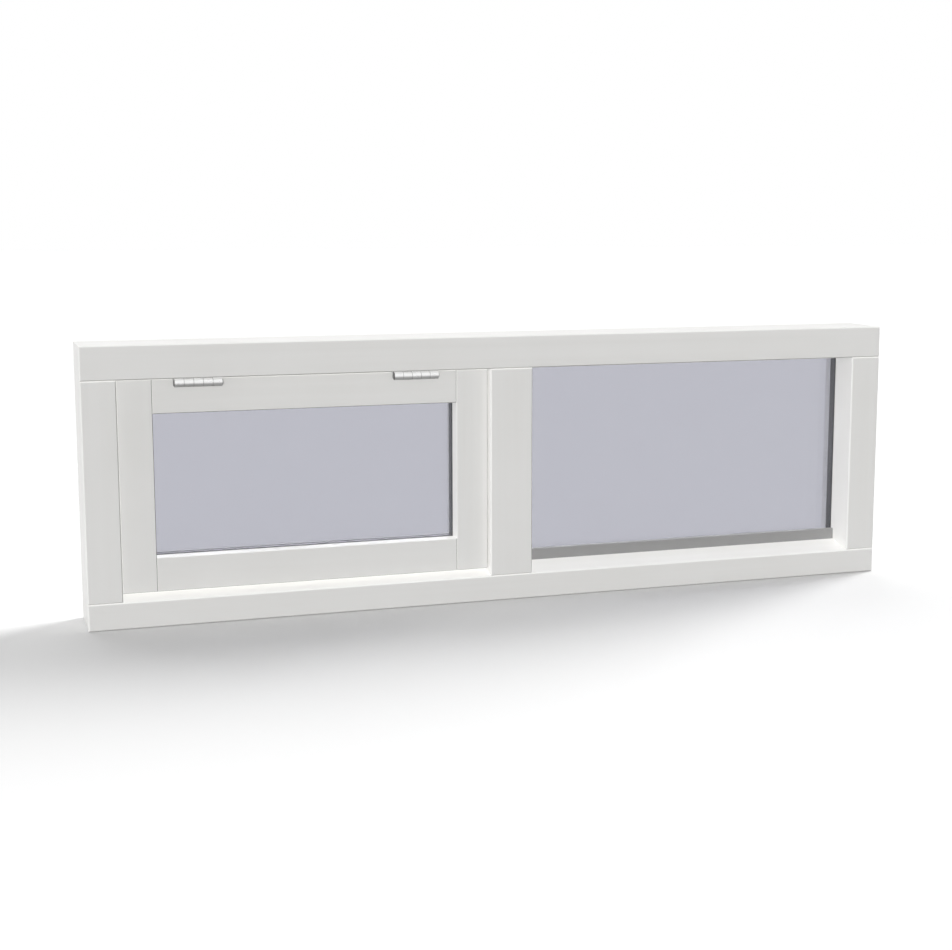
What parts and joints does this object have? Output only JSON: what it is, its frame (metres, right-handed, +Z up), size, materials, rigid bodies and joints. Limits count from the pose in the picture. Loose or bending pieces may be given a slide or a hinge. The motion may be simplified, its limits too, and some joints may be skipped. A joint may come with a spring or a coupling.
{
  "type": "top hung awning window with a fixed side light",
  "caption": "Wide low window in a painted timber frame: a top hung awning sash on butt hinges beside a fixed light, both with sealed double glass.",
  "frame": {"origin": "middle of the sill's underside, in the frame's outline", "axes": "+X along the width as seen from outside, left to right; +Y from the outside face to the inside; +Z up"},
  "size_m": [1.5, 0.114, 0.48],
  "materials": {
    "painted_frame": "white satin paint",
    "painted_sash": "white satin paint",
    "painted_bead": "white satin paint",
    "tinted_glass": "lightly tinted float glass",
    "clear_glass": "clear float glass",
    "spacer_metal": "dull grey",
    "setting_block": "moulded",
    "grey_bar": "anodised",
    "weather_seal": "matt",
    "hinge_steel": "zinc plated",
    "hinge_pin": "zinc plated",
    "handle_metal": "satin"
  },
  "bodies": {
    "root": {"head": "painted_frame", "sill": "painted_frame", "left_jamb": "painted_frame", "right_jamb": "painted_frame", "mullion": "painted_frame", "fixed_outer_pane": "tinted_glass", "fixed_inner_pane": "clear_glass", "fixed_spacer": "spacer_metal", "fixed_setting_blocks": "setting_block", "fixed_bead_top": "painted_bead", "fixed_bead_bottom": "painted_bead", "fixed_bead_left": "painted_bead", "fixed_bead_right": "painted_bead", "sill_glazing_bar": "grey_bar", "sash_top_rail": "painted_sash", "sash_bottom_rail": "painted_sash", "sash_left_stile": "painted_sash", "sash_right_stile": "painted_sash", "sash_outer_pane": "tinted_glass", "sash_inner_pane": "clear_glass", "sash_spacer": "spacer_metal", "sash_setting_blocks": "setting_block", "sash_bead_top": "painted_bead", "sash_bead_bottom": "painted_bead", "sash_bead_left": "painted_bead", "sash_bead_right": "painted_bead", "seal_top": "weather_seal", "seal_bottom": "weather_seal", "seal_left": "weather_seal", "seal_right": "weather_seal", "hinge_left_frame_leaf": "hinge_steel", "hinge_left_sash_leaf": "hinge_steel", "hinge_left_pin": "hinge_pin", "hinge_right_frame_leaf": "hinge_steel", "hinge_right_sash_leaf": "hinge_steel", "hinge_right_pin": "hinge_pin", "handle_base": "handle_metal", "handle_lever": "handle_metal"}
  },
  "joints": []
}
